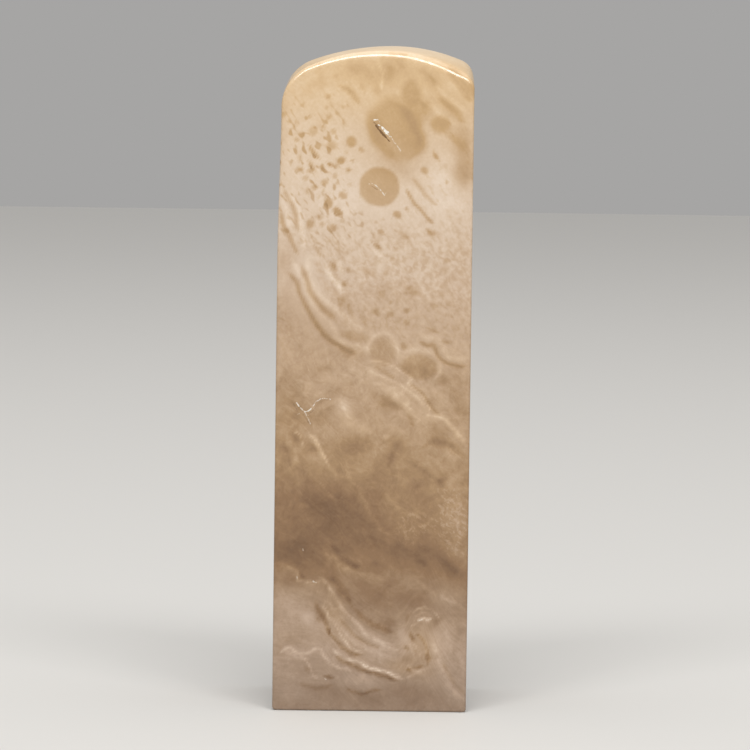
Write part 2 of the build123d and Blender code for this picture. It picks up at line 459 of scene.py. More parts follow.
veins = linesFromPhoto([  # lines that darken or lighten: half width, change of tone, points
    (2.4, -0.15, [(338.6, 87.2), (344, 90), (349.7, 94.1), (355, 101), (358, 106.6)]),
    (2, -0.08, [(360.8, 85.8), (363, 90), (364.9, 95.5)]),
    (1.8, -0.1, [(335.8, 76.1), (338.6, 80.2)]),
    (2.6, -0.09, [(416.2, 70.5), (426, 77), (432.9, 85.8), (435.7, 94)]),
    (2.4, -0.09, [(435.7, 99.6), (443, 106), (450.9, 112.1)]),
    (2.2, -0.09, [(453.7, 117.7), (460, 121), (466.2, 123.2)]),
    (3.4, -0.1, [(438, 97), (447, 106), (456, 114), (464, 120)]),
    (3.6, -0.09, [(448, 132), (456, 139), (464, 145), (470, 150)]),
    (3, -0.07, [(429, 77), (433, 84), (436, 91)]),
    (2.2, -0.1, [(419, 101), (423, 106), (427.3, 112.1)]),
    (2.4, -0.08, [(442, 131), (452, 140), (466, 153)]),
    (5.6, -0.11, [(393, 104), (404.6, 114), (413, 125.7), (420, 140), (417.4, 153), (409, 160)]),
    (4.6, -0.08, [(381.7, 151.4), (389, 156), (396, 160)]),
    (1.8, -0.13, [(297, 121.8), (298.4, 128.8)]),
    (2, -0.16, [(307.4, 119), (312.2, 121.8)]),
    (2.2, -0.14, [(327.5, 117.7), (331.6, 123.2)]),
    (1.8, -0.18, [(321.9, 127.4), (325.4, 132.2)]),
    (1.6, -0.09, [(342.7, 120.4), (344.1, 130.2)]),
    (1.8, -0.1, [(345.5, 152.3), (349.7, 155.1)]),
    (1.7, -0.27, [(308.8, 146.8), (313.6, 153.7), (320.5, 162.1)]),
    (1.5, -0.15, [(300.6, 155), (301.4, 166)]),
    (1.5, -0.24, [(308.1, 162.1), (312.2, 170.4), (315.7, 176.6)]),
    (2, -0.26, [(327.5, 164.8), (331, 166.6), (334.8, 169.4)]),
    (1.9, -0.26, [(345.5, 169.7), (348.8, 171.6), (352.8, 172.3)]),
    (1.8, -0.12, [(346.9, 184.2), (351.1, 187)]),
    (1.6, -0.15, [(322.6, 191.2), (324.7, 196.7)]),
    (1.8, -0.14, [(308.1, 189.8), (308.3, 199.5)]),
    (2, -0.15, [(324.7, 196.7), (328.9, 203.7)]),
    (1.8, -0.12, [(316, 200), (320, 198.6)]),
    (1.9, -0.24, [(431.5, 151), (434, 156), (438.4, 162.1)]),
    (1.5, -0.2, [(443.5, 182.9), (448, 183.6)]),
    (1.8, -0.14, [(412.1, 178.7), (421.8, 191.2), (432.9, 203.7), (438.4, 208.5)]),
    (1.5, -0.25, [(405.8, 189.8), (410.7, 199.5), (419, 209.2), (427.3, 218.9), (433.6, 224.5)]),
    (1.8, -0.2, [(405.8, 206.5), (408.6, 212.7)]),
    (1.9, -0.2, [(424.6, 227.2), (430.1, 234.2)]),
    (2.2, -0.22, [(377.4, 229.7), (381, 232.6), (385.7, 236.6)]),
    (1.7, -0.27, [(373.2, 242.2), (377, 245.3), (381.6, 250.5)]),
    (2, -0.17, [(283.1, 191.2), (290, 205), (295.6, 218.9), (298.4, 234.2)]),
    (1.9, -0.21, [(279.8, 213.4), (284, 226), (288.6, 236.3), (294.2, 247.7), (299.7, 257.4)]),
    (1.8, -0.15, [(313.6, 246.4), (317, 251), (321.9, 260.2)]),
    (2.1, -0.28, [(330.2, 263), (334, 267), (338.6, 273.4)]),
    (2.2, -0.15, [(345.5, 268.5), (352.4, 275.5)]),
    (3, -0.22, [(301.1, 266.5), (305.3, 275.5), (309.4, 286.6), (315, 297.7), (323.3, 308.8),
        (331.6, 317.1), (337, 322)]),
    (2.3, -0.24, [(288.6, 275.5), (297, 284.4), (302.5, 297.7), (310.8, 314.3), (319.2, 328.2),
        (327.5, 337.9), (338.6, 346.2), (349.7, 352.8), (357, 354.6)]),
    (2, -0.14, [(346.9, 301.8), (349.7, 308.8), (355.2, 315.7)]),
    (1.7, -0.1, [(394, 292), (396.8, 297.7)]),
    (1.8, -0.1, [(360, 318), (368, 326)]),
    (1.9, -0.21, [(417.6, 340.7), (421, 343.4), (426, 345.8), (432.4, 345.6), (435.4, 349), (438, 354.6),
        (444, 360.8), (450.9, 363.5), (458, 364.8), (466.2, 364.2)]),
    (2, -0.18, [(439.8, 341.4), (450.9, 342)]),
    (1.8, -0.1, [(424, 326), (432, 330), (441, 332)]),
    (1.7, -0.12, [(408, 383), (416, 388), (424, 396), (432, 408), (440, 416)]),
    (1.6, -0.1, [(372, 366), (384, 372), (396, 380)]),
    (4.2, -0.17, [(424, 446), (434.4, 441.8), (446.9, 444.1), (458, 451), (463.6, 456.6)]),
    (3, -0.1, [(405, 410), (411, 418), (415, 428)]),
    (2.4, -0.11, [(409.5, 462.1), (420.6, 467.7), (428.9, 473.2), (438, 480.2), (441.4, 485.7)]),
    (2, -0.09, [(399, 440), (394, 450), (389, 462), (386, 470)]),
    (3, -0.09, [(330, 462), (336, 470), (345, 473)]),
    (2.2, -0.08, [(283, 440), (288, 452), (290, 462)]),
    (2.8, -0.16, [(327.6, 544), (334.6, 549.5), (340.1, 556.4), (347.1, 562), (354, 565.6),
        (364.5, 566.6)]),
    (3.6, -0.07, [(368, 556), (379.5, 567)]),
    (4, -0.09, [(395, 541), (408, 550), (420, 560), (430, 568)]),
    (5.5, -0.07, [(420.6, 545.3), (448.3, 563.4), (467.7, 577.2)]),
    (3.4, -0.16, [(326.2, 576.4), (334.8, 581.8), (341.9, 590.4), (347.6, 599.3), (353.3, 607.9)]),
    (3.4, -0.16, [(353.3, 607.9), (363.7, 617.9), (376.1, 625.6), (387.5, 630.3), (395.7, 633.2)]),
    (1.8, -0.2, [(314.8, 601.3), (319.1, 611.3), (325.6, 620.3), (328.3, 631.3), (336.2, 640.4),
        (343.3, 647.6), (353.3, 653.2), (361.9, 655.1)]),
    (1.2, -0.26, [(328, 624.5), (328.8, 634)]),
    (2.2, -0.22, [(333.3, 654.1), (341.9, 660.2), (353.3, 665.1), (364.7, 670.8), (376.1, 674),
        (390.4, 678), (399, 680.8)]),
    (2, -0.15, [(306.2, 667), (310.5, 674.1)]),
    (1.7, -0.22, [(323.3, 676.2), (330.5, 677), (336, 679)]),
    (1.6, -0.17, [(345, 688.4), (353, 692), (361.9, 693.6), (370.4, 690.4), (381.8, 689.6)]),
    (2.2, -0.09, [(297.7, 682.7), (308, 686.6), (319.1, 688.4), (336.2, 684.1)]),
    (1.6, -0.22, [(410.4, 630.3), (411.6, 635), (413.8, 638.4), (417.5, 639.9)]),
    (1.4, -0.18, [(416.1, 631.3), (420, 634), (423.2, 638.4), (426, 648.4), (425.6, 658.4)]),
    (2.3, -0.28, [(427.6, 650.3), (428.6, 657), (428, 664.6)]),
    (1.7, -0.18, [(413.2, 667.6), (418, 667.4), (424.2, 665.5)]),
    (2.2, -0.18, [(404.6, 644.6), (407.5, 651.3)]),
    (2.4, -0.1, [(441, 660), (447, 672), (455, 684), (466, 694)]),
    (1.6, -0.12, [(338, 618), (347, 628), (357, 637), (368, 644), (380, 649)]),
    (1.5, -0.12, [(316.2, 615), (320.5, 624.2)]),
    (1.6, -0.13, [(299, 572), (303, 577), (308, 579)]),
    (1.6, -0.1, [(412, 611), (408, 616), (407, 622)]),
    (1.5, 0.1, [(377.4, 65), (381.6, 74.7), (382.3, 83), (380.2, 94.1)]),
    (1.5, 0.06, [(384.5, 70), (385.8, 80)]),
    (2.2, 0.07, [(429, 103), (436, 112), (446, 120), (458, 128)]),
    (2.4, 0.06, [(428, 80), (438, 92), (452, 104), (466, 114)]),
    (2.4, 0.1, [(290, 196), (296, 208), (300, 220), (303.5, 240), (304, 252)]),
    (2, 0.08, [(281, 203), (287, 216), (292, 230)]),
    (2.8, 0.12, [(292, 262), (299, 272.1), (306.3, 285.2), (312.6, 300.8), (321.5, 314.7), (331.2, 326.6),
        (341.4, 334.9)]),
    (2.2, 0.1, [(330, 331), (341.4, 341.9), (355.2, 346.4), (366.3, 348.2)]),
    (3.2, 0.1, [(306.7, 258.6), (311.8, 281), (321.5, 296.7), (334, 307.8), (345.1, 316.1), (356.2, 325),
        (368.7, 332.3)]),
    (2, 0.17, [(326, 265.5), (329.5, 274), (335, 281.8), (342.7, 292.6)]),
    (1.6, 0.12, [(336, 262), (341, 267), (345, 276)]),
    (1.6, 0.12, [(372, 247.5), (378.5, 254), (384.5, 258)]),
    (2.4, 0.1, [(367.7, 357.7), (367.4, 345.8), (373.4, 337.6), (382, 334.1), (391.3, 336.5),
        (397.4, 345.6), (398.4, 356.7)]),
    (2.2, 0.09, [(401.6, 357.7), (404.8, 351.8), (414, 349.4), (424, 349.8), (434.4, 353.8),
        (440.2, 362.9), (440, 373), (434, 380.6)]),
    (2.8, 0.1, [(419, 334.6), (428, 338), (435.7, 337.4), (441.6, 345), (445.6, 353), (453.3, 356.5),
        (468.9, 356.1)]),
    (1.3, 0.15, [(369.1, 361.9), (377.4, 361), (387.1, 363.5), (396.8, 368.6), (405.2, 374), (413, 381)]),
    (1.8, 0.13, [(366.3, 369.8), (377.4, 375), (388.5, 379.5), (399.6, 385), (410.7, 393.4), (419, 399.9),
        (426.6, 408.2)]),
    (1, 0.13, [(405, 381.5), (412, 387), (420, 394), (427.5, 404), (430.5, 412)]),
    (4.2, 0.1, [(371.6, 381.8), (384, 386.4), (394.8, 392.4), (403.2, 399.7), (409.7, 407.4), (414, 414)]),
    (5.2, 0.11, [(341.5, 402), (345.7, 415), (350.8, 423.7), (362.3, 428.8), (374.4, 433.6)]),
    (2, 0.08, [(374.4, 433.6), (386, 436), (395, 434)]),
    (2.3, 0.13, [(417.8, 419.6), (420, 422)]),
    (2.8, 0.17, [(427.9, 415.4), (442.8, 418.1), (455.2, 429.2), (465.9, 445.5)]),
    (1.3, 0.09, [(308.2, 431.6), (316.5, 441.3), (322.1, 452.4), (327.6, 464.9)]),
    (2.8, 0.1, [(308.2, 431.6), (316.5, 441.3), (322.1, 452.4), (327.6, 464.9), (336, 472),
        (348.4, 477.8)]),
    (1, 0.17, [(293, 432.3), (299.9, 434.2), (302.7, 440.3), (303.7, 446.5)]),
    (1, 0.09, [(314.8, 434), (318.6, 441), (323.8, 455), (329, 466)]),
    (3.6, 0.08, [(287.8, 433.8), (292.4, 446.3), (297, 459.3), (300.4, 470)]),
    (2.2, 0.09, [(431.7, 458), (440, 462.1), (444.6, 473.2)]),
    (0.8, 0.08, [(319.3, 481.5), (327, 490), (336, 501)]),
    (1.9, 0.09, [(345.7, 467.7), (356.8, 484.3), (365.1, 499.6), (370.6, 512), (379, 526.3),
        (387.3, 534.2), (400.8, 539.8)]),
    (1.8, 0.06, [(383, 488), (391, 500), (402, 510), (412, 518)]),
    (1.8, 0.05, [(395, 470), (400, 482), (408, 492)]),
    (3.2, 0.14, [(321.1, 546.3), (328.6, 555), (335.6, 561.6), (344.7, 569.4), (356, 573)]),
    (2.6, 0.06, [(356, 573), (372, 576), (386, 580)]),
    (1.6, 0.15, [(278.5, 562.3), (284, 564.2), (291, 567.6), (296.2, 571), (298.2, 580.9), (304.8, 583),
        (312, 583.4)]),
    (2.3, 0.16, [(306.8, 584.5), (314.8, 584.1), (321.9, 581.5), (328, 586.4), (334.2, 595.6),
        (340.9, 605.8), (348, 614.7), (356.4, 624.3), (366, 633.9), (378, 640.5), (389.4, 646.2),
        (400.8, 651.4)]),
    (5, 0.08, [(318, 592), (330, 606), (340, 620), (352, 634), (368, 647), (386, 656), (402, 660)]),
    (1.1, 0.18, [(321.9, 603.8), (325.6, 610.3), (332.3, 621.2), (338.9, 632.4), (347.4, 643.2),
        (356, 650), (363, 653.4)]),
    (1.2, 0.1, [(337, 624), (346, 634), (358, 645), (374, 652)]),
    (2, 0.2, [(331.3, 647.4), (340.9, 655.6), (350.4, 659.4), (361.9, 664.1), (373.3, 669),
        (386.1, 672.2), (396.1, 675.6), (404.2, 678)]),
    (1.2, 0.2, [(360, 663), (372, 668.6), (386, 672.4), (398, 676.4)]),
    (1.3, 0.17, [(279.5, 653.8), (289.1, 647.6), (296.2, 652.4), (304.8, 654.1), (313.8, 648.8),
        (319.9, 648), (323.3, 656), (330, 663.6), (337.6, 667.2), (350.4, 668.8)]),
    (2.2, 0.09, [(283, 650), (295, 656), (310, 659)]),
    (1.3, 0.14, [(304.2, 656), (309.5, 665.5), (314, 676), (319.1, 679.6)]),
    (1.1, 0.15, [(413.6, 612.3), (418, 608.6), (424.6, 606.8), (431, 608.4), (435.6, 612.3),
        (439.9, 620.9)]),
    (1, 0.1, [(416, 616), (421, 612.6), (428, 612.4), (433, 615.6)]),
    (1.3, 0.26, [(416.9, 621.1), (420, 618.6), (424.2, 618.2), (428, 619.6), (432.4, 618.1)]),
    (1.1, 0.16, [(410.8, 626.6), (413.5, 624), (417.1, 622.4)]),
    (1, 0.15, [(418.9, 632.7), (422, 635.6), (424.9, 641.9), (424.8, 655.1)]),
    (1.2, 0.12, [(413.5, 642), (417, 650), (419.4, 658)]),
    (1, 0.1, [(409, 641), (411.5, 650), (414, 657)]),
    (1.7, 0.14, [(404.6, 677.4), (411, 675.6), (418.9, 671.8), (427, 668)]),
    (1.3, 0.13, [(406, 664.5), (413, 670), (420, 671)]),
    (3.8, 0.12, [(432.2, 636.9), (436.5, 655), (443.6, 672.1), (452.2, 686.4), (465.6, 700.2)]),
    (2, 0.07, [(446.4, 626.3), (448.9, 640), (450, 656)]),
    (1.8, 0.07, [(456, 650), (461, 662), (467, 674)]),
    (1.6, 0.07, [(436, 588), (446, 598), (458, 606), (467, 612)]),
    (1.8, 0.06, [(411, 575), (424, 585), (438, 600)]),
])

crystals = linesFromPhoto([  # white crystal in cracks: half width, strength, points
    (1, 0.9, [(374.6, 122.2), (377.6, 121.6), (379.6, 124)]),
    (1.5, 1, [(378.6, 126.8), (381.4, 128.6), (384.2, 131.6), (387.4, 135.2), (389.8, 138.2)]),
    (0.9, 0.8, [(389.2, 137.6), (391.4, 138.6), (392.2, 141.4)]),
    (0.55, 0.35, [(391.4, 140.6), (396, 146), (400.6, 152.6)]),
    (0.5, 0.55, [(369, 185.4), (372.6, 185.2), (376, 187), (380.2, 191.2), (384.4, 196.4)]),
    (0.45, 0.3, [(384.4, 196.4), (386, 194)]),
    (0.62, 0.75, [(297.1, 403.9), (300, 408), (303.2, 410.8), (305.4, 412.9), (308.8, 411.6),
        (312.4, 408.7), (314.5, 405.3)]),
    (0.5, 0.55, [(318.6, 401.1), (321, 399.4), (323.5, 399), (327, 399.2), (330.4, 399.7)]),
    (0.5, 0.35, [(305.4, 412.9), (307, 417), (309.6, 421.9)]),
    (0.5, 0.3, [(297.4, 415.8), (299.6, 414.4)]),
    (0.5, 0.3, [(314.5, 405.3), (316, 402.4), (318.6, 401.1)]),
    (0.4, 0.35, [(306.2, 418.4), (308.8, 416)]),
    (0.4, 0.35, [(309.6, 421.9), (311, 425)]),
    (0.7, 0.5, [(303, 549.6), (303.8, 550.8)]),
    (0.7, 0.45, [(313.4, 581.6), (316.2, 583)]),
    (0.6, 0.35, [(297, 577.4), (298.2, 580.6)]),
    (0.6, 0.4, [(325.2, 678.8), (326, 679.6)]),
    (0.6, 0.35, [(418, 620.2), (422, 618.4)]),
    (0.6, 0.3, [(426, 619.2), (431, 618.2)]),
])

crackShadows = linesFromPhoto([  # painted shadow on the dark side of those cracks
    (1.2, 0.9, [(375.4, 127), (377.4, 130), (380.4, 133.4), (383.6, 137), (387, 140.4), (389.6, 143)]),
    (0.8, 0.7, [(374, 124.6), (376.6, 126.4), (378.6, 129)]),
    (0.6, 0.35, [(370.6, 187.2), (373.6, 188.6), (376.8, 191)]),
    (0.5, 0.45, [(303.4, 415), (306.4, 419.4), (308.6, 423)]),
    (0.5, 0.4, [(293.6, 405), (296.4, 409), (298, 412.6)]),
    (0.5, 0.4, [(309, 414.6), (312, 412.6), (315.6, 408.6)]),
])

figure = {
    # by height: (height, value)
    # base tone by height: paler at the top, darker towards the foot; partly the stone's own colour and partly
    # painted light and shade, as light falls from above
    "toneByHeightWithPaintedShade": [(0, 0.26), (3, 0.29), (6, 0.40), (9, 0.45), (13, 0.35), (17, 0.26), (21, 0.25), (24, 0.30),
                 (28, 0.33), (31, 0.38), (36, 0.49), (39, 0.51), (42, 0.55), (48, 0.59), (51, 0.63),
                 (54, 0.70), (60, 0.78), (68, 0.84), (77, 0.84), (83, 0.88), (86, 0.95)],
    "blush": [(0, 1.1), (3, 1.05), (8, 0.95), (14, 0.65), (20, 0.15), (28, 0.0), (36, 0.2), (42, 0.35),
              (46, 0.4), (56, 0.7), (64, 0.65), (70, 0.45), (75, 0.2), (78, -0.1), (83, -0.35),
              (86, -0.1)],  # 0 is honey and 1 is rose
    "flecks": [(0, 0), (57, 0), (61, 0.7), (66, 1), (74, 0.9), (78, 0.4), (81, 0.1), (86, 0)],  # the dimples
    "leather": [(0, 0), (44, 0), (49, 0.7), (54, 1), (60, 0.9), (65, 0.3), (70, 0.1), (86, 0)],
    "clouds": [(0, 0.5), (10, 0.5), (20, 0.8), (28, 1), (44, 1), (50, 0.45), (58, 0.3), (70, 0.2), (86, 0.3)],
    "strokes": [(0, 1.1), (16, 1.1), (20, 0.9), (27, 1.0), (34, 1.25), (41, 1.3), (46, 0.9), (60, 1),
                (86, 1)],  # strength of the veins
    "torn": [(0, 1), (20, 1), (30, 0.5), (44, 0.25), (86, 0.15)],  # how ragged the veins are
    "silk": [(0, 0.6), (8, 0.9), (13, 0.8), (18, 0.4), (30, 0.35), (44, 0.35), (52, 0.15), (86, 0.2)],
    "streaks": [(0, 0), (50, 0), (58, 0.4), (64, 0.8), (70, 1), (80, 1), (86, 0.6)],

    # by place across: to the right the dimples give way to streaks
    "towardsRight": [(-12.5, 0), (-2, 0), (4, 1), (12.5, 1)],
    "flecksLost": 0.75, "streaksLeft": 0.2,  # share of the dimples lost there, and of streaks on the left
    "streaksLost": 0.6,                      # share of the streaks lost behind the front

    # ovals on the front: x, z, two half sizes, tilt in degrees
    "calm": [(1.6, 73.6, 6.2, 8.0, -20), (0.4, 67.4, 4.2, 4.0, 0), (1.1, 46.3, 2.6, 2.8, 0),
             (5.9, 44.5, 3.4, 2.6, 0), (-9.0, 53.5, 9.0, 3.0, -62)],  # no dimples there
    "scaly": [(10.2, 25, 3.0, 5.5, 12), (5.5, 24, 2.5, 3, -30)],  # small pale scales there
    "honeyed": [(6.7, 8.2, 2.6, 3.1, 0, -0.5), (3.9, 5.6, 2.8, 0.9, -10, -0.35),
                (-2.5, 8.2, 3.4, 1.3, -45, -0.2), (-4.5, 12.4, 1.4, 2.2, 0, -0.25)],  # last: change of blush
    "calmReach": 1.2, "calmFade": 0.4, "scalyReach": 1.3, "scalyFade": 0.8,  # in shares of the half sizes

    # how marks turn the blush, how lines end, and what the coarser mesh of the sides and the back can hold
    "blushOfBlots": 1.2, "blushOfSpots": 2.6, "blushOfVeins": 2.4,
    "lineEnd": 0.35, "lineReach": 3, "eyeMarks": 4, "broadVein": 0.6, "broadVeinShare": 0.75,

    # how deep the front's marks go, and how all marks wander: sizes of the noises, how far they move marks
    "depthKept": 2.0, "depthLost": 11.0, "onFaceDepth": 0.4, "driftDepth": 5, "seed": 11,
    "driftSize": 9.0, "fineSize": 2.7, "finestSize": 1.1, "tinySize": 0.6,
    "fineWobble": 0.2, "finestWobble": 0.13, "tinyWobble": 0.08, "tinyBelow": 28, "tinyFade": 8,
    "frontSlant": (0.10, 0.22), "frontDrift": (1.6, 2.2), "toneDrift": 1.5,
    "backShift": (1.2, -2.5), "backDrift": (2.0, 2.4), "sideSlope": 0.3, "sideDrift": (1.8, 2.2),
}


def latticeNoise(points, size, seed):
    # smooth noise from -1 to 1: random values on a lattice of this size, blended over the eight corners
    # of a cell; the lattice repeats after some cells, and the offset keeps every place on its positive side
    count, offset = 16, 40
    values = np.random.default_rng(seed).uniform(-1, 1, (count, count, count))
    place = points / size + offset
    cell = np.floor(place).astype(int)
    share = smooth(place - cell)
    total = 0
    for corner in np.ndindex(2, 2, 2):
        weight = np.prod(np.where(corner, share, 1 - share), axis=-1)
        total = total + weight * values[tuple(((cell + corner) % count).T)]
    return total


def smoothLine(points, steps=6):
    # a Catmull-Rom curve: each span is a cubic through its ends, aimed by the points before and after
    points = np.array(points, float)
    if len(points) < 3:
        return points
    ends = np.vstack([2 * points[0] - points[1], points, 2 * points[-1] - points[-2]])
    before, first, second, after = ends[:-3, None], ends[1:-2, None], ends[2:-1, None], ends[3:, None]
    t = (np.arange(steps) / steps)[None, :, None]
    curve = 0.5 * (2 * first + (second - before) * t
                   + (2 * before - 5 * first + 4 * second - after) * t ** 2
                   + (3 * first - before - 3 * second + after) * t ** 3)
    return np.vstack([curve.reshape(-1, 2), points[-1:]])


def drawLine(u, v, halfWidth, points):
    # 1 on a line, falling with exp(-(distance / half width) squared), and tapered to its ends
    total = np.zeros_like(u)
    curve = smoothLine(points)
    margin = figure["lineReach"] * halfWidth
    near = ((u > curve[:, 0].min() - margin) & (u < curve[:, 0].max() + margin)
            & (v > curve[:, 1].min() - margin) & (v < curve[:, 1].max() + margin))
    if not near.any():
        return total
    at = np.stack([u[near], v[near]], axis=-1)[:, None]
    start, span = curve[:-1][None], np.diff(curve, axis=0)[None]
    reach = np.clip(((at - start) * span).sum(-1) / (span ** 2).sum(-1), 0, 1)
    apart = np.hypot(*np.moveaxis(at - start - reach[..., None] * span, -1, 0))
    closest = apart.argmin(axis=1)
    lengths = np.hypot(*span[0].T)
    along = np.cumsum(lengths) - lengths
    rows = np.arange(len(closest))
    walked = along[closest] + reach[rows, closest] * lengths[closest]
    fromEnd = np.minimum(walked, lengths.sum() - walked)
    full = smooth(fromEnd / min(margin, lengths.sum() / 2))
    taper = figure["lineEnd"] + (1 - figure["lineEnd"]) * full
    total[near] = np.exp(-(apart[rows, closest] / (halfWidth * taper)) ** 2) * taper
    return total


def ovalDistance(u, v, x, z, halfX, halfZ, tilt):
    # distance from an oval's centre, in shares of its own half sizes
    turn = math.radians(tilt)
    du, dv = u - x, v - z
    return np.hypot((du * math.cos(turn) + dv * math.sin(turn)) / halfX,
                    (dv * math.cos(turn) - du * math.sin(turn)) / halfZ)


def insideOvals(u, v, ovals, reach, fade):
    # 1 inside any of the ovals, falling to 0 over a fade that ends at the reach
    inside = np.zeros_like(u)
    for oval in ovals:
        inside = np.maximum(inside, smooth((reach - ovalDistance(u, v, *oval)) / fade))
    return inside


def drawFigure(u, v, own):
    # tone, blush, veins, calm and scales at (u, v) by all marks; own adds the eyes, which only the front has
    tone, blush, strokes = (np.zeros_like(u) for n in range(3))
    for *oval, change in blots:
        shade = np.exp(-ovalDistance(u, v, *oval) ** 2) * change
        tone += shade
        blush += figure["blushOfBlots"] * shade
    for *oval, change, edge in spots[0 if own else figure["eyeMarks"]:]:
        share = smooth((1 + edge - ovalDistance(u, v, *oval)) / (2 * edge))
        tone += share * change
        blush += figure["blushOfSpots"] * share * change
    for halfWidth, change, points in veins:
        if not own:
            halfWidth = max(halfWidth, figure["broadVein"])
            change = figure["broadVeinShare"] * change
        shade = drawLine(u, v, halfWidth, points) * change
        strokes += shade
        blush += figure["blushOfVeins"] * np.minimum(shade, 0)
    for *oval, change in figure["honeyed"]:
        blush += np.exp(-ovalDistance(u, v, *oval) ** 2) * change
    calm = insideOvals(u, v, figure["calm"], figure["calmReach"], figure["calmFade"])
    scaly = insideOvals(u, v, figure["scaly"], figure["scalyReach"], figure["scalyFade"])
    return tone, blush, strokes, calm, scaly


def figureOfStone(points):
    # the front's marks go some way into the stone, drifting; other marks stand on the back and the sides
    x, y, z = points.T
    depth = y + stoneBlock["halfDepth"]
    fromBack = 2 * stoneBlock["halfDepth"] - depth
    lost = smooth((depth - figure["depthKept"]) / figure["depthLost"])
    lostBack = smooth((fromBack - figure["depthKept"]) / figure["depthLost"])
    inward = smooth(depth / figure["driftDepth"])

    def noises(size, first, count):
        return [latticeNoise(points, size, figure["seed"] + n) for n in range(first, first + count)]

    drift = noises(figure["driftSize"], 0, 4)
    fine = noises(figure["fineSize"], 4, 2)
    finest = noises(figure["finestSize"], 6, 2)
    nearFoot = smooth((figure["tinyBelow"] - z) / figure["tinyFade"])
    tiny = [noise * nearFoot for noise in noises(figure["tinySize"], 8, 2)]
    wobbleX, wobbleZ = (figure["fineWobble"] * fine[n] + figure["finestWobble"] * finest[n]
                        + figure["tinyWobble"] * tiny[n] for n in range(2))

    slantX, slantZ = figure["frontSlant"]
    driftX, driftZ = figure["frontDrift"]
    onFront = drawFigure(x + wobbleX + inward * (slantX * depth + driftX * drift[0]),
                         z + wobbleZ + inward * (slantZ * depth + driftZ * drift[1]), True)
    shiftX, shiftZ = figure["backShift"]
    driftX, driftZ = figure["backDrift"]
    onBack = drawFigure(-x + shiftX + wobbleX + driftX * drift[2],
                        z + shiftZ + wobbleZ + driftZ * drift[3], False)
    driftY, driftZ = figure["sideDrift"]
    onSide = drawFigure(y + wobbleX + driftY * drift[3],
                        z + figure["sideSlope"] * x + wobbleZ + driftZ * drift[2], False)
    shares = (1 - lost, 1 - lostBack, lost * lostBack)
    tone, blush, strokes, calm, scaly = (
        sum(marks[n] * share for marks, share in zip((onFront, onBack, onSide), shares)) for n in range(5))

    rightwards = between(figure["towardsRight"], x)
    streaked = figure["streaksLeft"] + (1 - figure["streaksLeft"]) * rightwards
    return {
        # the tone by height carries painted light and shade from above besides the stone's own colour
        "tone": tone + between(figure["toneByHeightWithPaintedShade"], z + figure["toneDrift"] * drift[0] * inward),
        "strokes": strokes * between(figure["strokes"], z), "torn": between(figure["torn"], z),
        "blush": blush + between(figure["blush"], z),
        "flecks": between(figure["flecks"], z) * (1 - calm) * (1 - figure["flecksLost"] * rightwards),
        "streaks": between(figure["streaks"], z) * (1 - calm) * streaked * (1 - figure["streaksLost"] * lost),
        "scaly": scaly, "leather": between(figure["leather"], z) * (1 - calm),
        "clouds": between(figure["clouds"], z), "silk": between(figure["silk"], z),
        "onFace": smooth(1 - depth / figure["onFaceDepth"]),
    }


grainLines = {
    "hook": [(-12.5, 17), (-9, 16.8), (-6, 16.4), (-4.5, 14.7), (-3, 12.6), (-1, 10.3), (1, 9.1), (3, 8.2),
             (4.4, 8.2), (5.4, 9.6), (6.4, 11.4), (7.4, 11.4), (8.3, 9), (9, 6.8), (10, 4.6), (12.5, 1.5),
             (22, -4)],  # a grain line in the foot: place, height
    "midwayFrom": 12, "upperFrom": 40, "change": 14,  # heights where straight, then steeper grain begins
    "start": 9, "midwayFall": 0.75, "upperFall": 1.28,
    "slantAlong": 0.35, "slantUp": 0.15, "alongWander": 1.0, "alongSize": 7.0, "upWander": 0.7, "upSize": 5.0,
}


def grainOfStone(points):
    # coordinates along the grain, across it and into the stone: a grain line is the hook's height at x in
    # the foot, and a straight fall midway and under the dome
    x, y, z = points.T
    depth = y + stoneBlock["halfDepth"]
    along = (x + grainLines["slantAlong"] * depth
             + grainLines["alongWander"] * latticeNoise(points, grainLines["alongSize"], figure["seed"] + 20))
    height = (z + grainLines["slantUp"] * depth
              + grainLines["upWander"] * latticeNoise(points, grainLines["upSize"], figure["seed"] + 21))
    hook = np.interp(along, *smoothLine(grainLines["hook"]).T)
    midway = smooth((height - grainLines["midwayFrom"]) / grainLines["change"])
    upper = smooth((height - grainLines["upperFrom"]) / grainLines["change"])
    lower = hook * (1 - midway) + (grainLines["start"] - grainLines["midwayFall"] * along) * midway
    grainLine = lower * (1 - upper) + (grainLines["start"] - grainLines["upperFall"] * along) * upper
    return np.stack([along, height - grainLine, y], axis=-1)


domeFinish = {
    "satinHeight": 0.3, "satinFade": 1.5,   # how far under the arch the satin holds, and over what it is lost
    "polishedRim": 0.25, "rimFade": 0.8,    # how far from a rim it begins, and over what it is full
    "facetReach": 1.2, "facetSpread": 1.6,  # facets end at reach * spread, and are full a reach before that
    "facetsLeft": 0.3,                      # share of them at the left
}


def finishOfDome(points, block):
    # by the height under the arch and the depth from a rim: satin is 1 on the dome behind its polished rims
    # and 0 on the flat faces; faceted is 1 along the rims, where small grinding facets break up the light
    x, y, z = points.T
    top, peak, left, right = archAt(block, y)
    radius = np.where(x < peak, left, right)
    under = top - radius + np.sqrt(radius ** 2 - (x - peak) ** 2) - z
    fromRim = block["halfDepth"] - np.abs(y)
    satin = (smooth(1 - (under - domeFinish["satinHeight"]) / domeFinish["satinFade"])
             * smooth((fromRim - domeFinish["polishedRim"]) / domeFinish["rimFade"]))
    spread, reach = domeFinish["facetSpread"], domeFinish["facetReach"]
    shown = domeFinish["facetsLeft"] + (1 - domeFinish["facetsLeft"]) * between(figure["towardsRight"], x)
    faceted = smooth(spread - under / reach) * smooth(spread - fromRim / reach) * shown
    return satin, faceted


